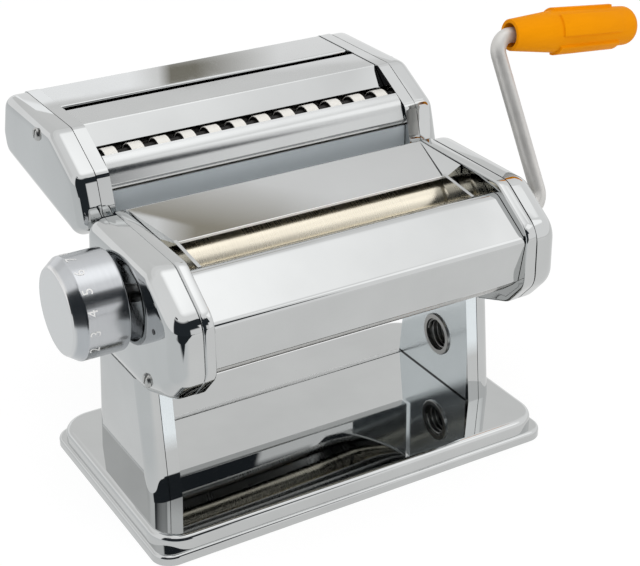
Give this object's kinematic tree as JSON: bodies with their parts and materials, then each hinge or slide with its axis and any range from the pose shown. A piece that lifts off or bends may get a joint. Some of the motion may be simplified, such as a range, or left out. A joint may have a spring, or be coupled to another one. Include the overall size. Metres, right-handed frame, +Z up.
{
  "type": "pasta roller machine",
  "caption": "Hand-cranked pasta machine: smooth rollers, a sprung thickness knob, a pull-out crank with a turning grip and a lift-off cutter unit on a chromed stand.",
  "frame": {"origin": "middle of the underside of the base", "axes": "+X along the rollers from the knob to the crank, -Y to the front where the sheet of dough comes out, +Z up"},
  "size_m": [0.3079, 0.1863, 0.187],
  "materials": {
    "chrome_sheet": "polished",
    "machined_steel": "turned",
    "roller_aluminium": "satin",
    "pale_plastic": "matt",
    "satin_rod": "satin",
    "orange_plastic": "satin"
  },
  "bodies": {
    "stand": {"base_plate": "chrome_sheet", "bottom_plate": "chrome_sheet", "left_leg": "chrome_sheet", "right_leg": "chrome_sheet", "left_leg_panel": "chrome_sheet", "right_leg_panel": "chrome_sheet", "back_panel": "chrome_sheet", "clamp_socket": "machined_steel", "left_side_plate": "chrome_sheet", "right_side_plate": "chrome_sheet", "left_end_cover": "chrome_sheet", "right_end_cover": "chrome_sheet", "front_cover": "chrome_sheet", "rear_hopper": "chrome_sheet", "left_dough_guide": "chrome_sheet", "right_dough_guide": "chrome_sheet", "tie_rods": "machined_steel", "front_scraper": "chrome_sheet", "roller_bushes": "machined_steel", "cover_screws": "machined_steel", "spindle_bush": "machined_steel", "left_cutter_catch": "chrome_sheet", "right_cutter_catch": "chrome_sheet"},
    "drive_roller": {"drive_roller": "roller_aluminium", "drive_gear": "machined_steel"},
    "gap_carriage": {"left_bearing_block": "machined_steel", "right_bearing_block": "machined_steel", "cradle_bar": "machined_steel", "rear_scraper": "machined_steel", "regulator_yoke": "machined_steel"},
    "driven_roller": {"driven_roller": "roller_aluminium", "driven_gear": "machined_steel"},
    "regulator": {"regulator_spindle": "machined_steel", "knob_spring": "machined_steel"},
    "knob": {"knob": "chrome_sheet"},
    "crank": {"crank_rod": "satin_rod"},
    "grip": {"crank_grip": "orange_plastic"},
    "cutter": {"cutter_left_plate": "chrome_sheet", "cutter_right_plate": "chrome_sheet", "cutter_left_cover": "chrome_sheet", "cutter_right_cover": "chrome_sheet", "cutter_rear_sheet": "chrome_sheet", "cutter_middle_sheet": "chrome_sheet", "cutter_front_lip": "chrome_sheet", "cutter_lower_front": "chrome_sheet", "cutter_tie_rods": "machined_steel", "wide_comb": "pale_plastic", "narrow_comb": "pale_plastic", "cutter_screws": "machined_steel"},
    "wide_front": {"wide_front_cutter": "roller_aluminium", "wide_front_cutter_gear": "machined_steel"},
    "wide_rear": {"wide_rear_cutter": "roller_aluminium", "wide_rear_cutter_gear": "machined_steel"},
    "narrow_front": {"narrow_front_cutter": "roller_aluminium", "narrow_front_cutter_gear": "machined_steel"},
    "narrow_rear": {"narrow_rear_cutter": "roller_aluminium", "narrow_rear_cutter_gear": "machined_steel"}
  },
  "joints": [
    {"name": "crank_turn", "type": "hinge", "parent": "stand", "child": "drive_roller", "pos_m": [0, -0.0405, 0.1105], "axis": [1, 0, 0], "continuous": true},
    {"name": "gap_slide", "type": "slide", "parent": "stand", "child": "gap_carriage", "axis": [0, 1, 0], "range_m": [-0.00273, 0.00137]},
    {"name": "driven_spin", "type": "hinge", "parent": "gap_carriage", "child": "driven_roller", "pos_m": [0, -0.01147, 0.1105], "axis": [1, 0, 0], "continuous": true},
    {"name": "knob_turn", "type": "hinge", "parent": "stand", "child": "regulator", "pos_m": [0, -0.0159, 0.1078], "axis": [1, 0, 0], "range_deg": [-56, 112]},
    {"name": "knob_pull", "type": "slide", "parent": "regulator", "child": "knob", "axis": [-1, 0, 0], "range_m": [0, 0.004], "stiffness_N_per_m": 800, "springref_m": -0.004},
    {"name": "crank_pull", "type": "slide", "parent": "drive_roller", "child": "crank", "axis": [1, 0, 0], "range_m": [0, 0.014]},
    {"name": "grip_spin", "type": "hinge", "parent": "crank", "child": "grip", "pos_m": [0.1064, 0.00177, 0.17948], "axis": [0.9954, -0.0501, -0.0817], "continuous": true},
    {"name": "cutter_lift", "type": "slide", "parent": "stand", "child": "cutter", "axis": [0, 0, 1], "range_m": [0, 0.03]},
    {"name": "wide_spin", "type": "hinge", "parent": "cutter", "child": "wide_front", "pos_m": [0, 0.0415, 0.141], "axis": [1, 0, 0], "continuous": true},
    {"name": "wide_rear_spin", "type": "hinge", "parent": "cutter", "child": "wide_rear", "pos_m": [0, 0.055, 0.141], "axis": [1, 0, 0], "continuous": true},
    {"name": "narrow_spin", "type": "hinge", "parent": "cutter", "child": "narrow_front", "pos_m": [0, 0.0705, 0.141], "axis": [1, 0, 0], "continuous": true},
    {"name": "narrow_rear_spin", "type": "hinge", "parent": "cutter", "child": "narrow_rear", "pos_m": [0, 0.084, 0.141], "axis": [1, 0, 0], "continuous": true}
  ],
  "couplings": [
    {"joint": "driven_spin", "follows": "crank_turn", "ratio": -1},
    {"joint": "knob_turn", "follows": "gap_slide", "rad_per_m": -715.16},
    {"joint": "wide_rear_spin", "follows": "wide_spin", "ratio": -1},
    {"joint": "narrow_rear_spin", "follows": "narrow_spin", "ratio": -1}
  ]
}
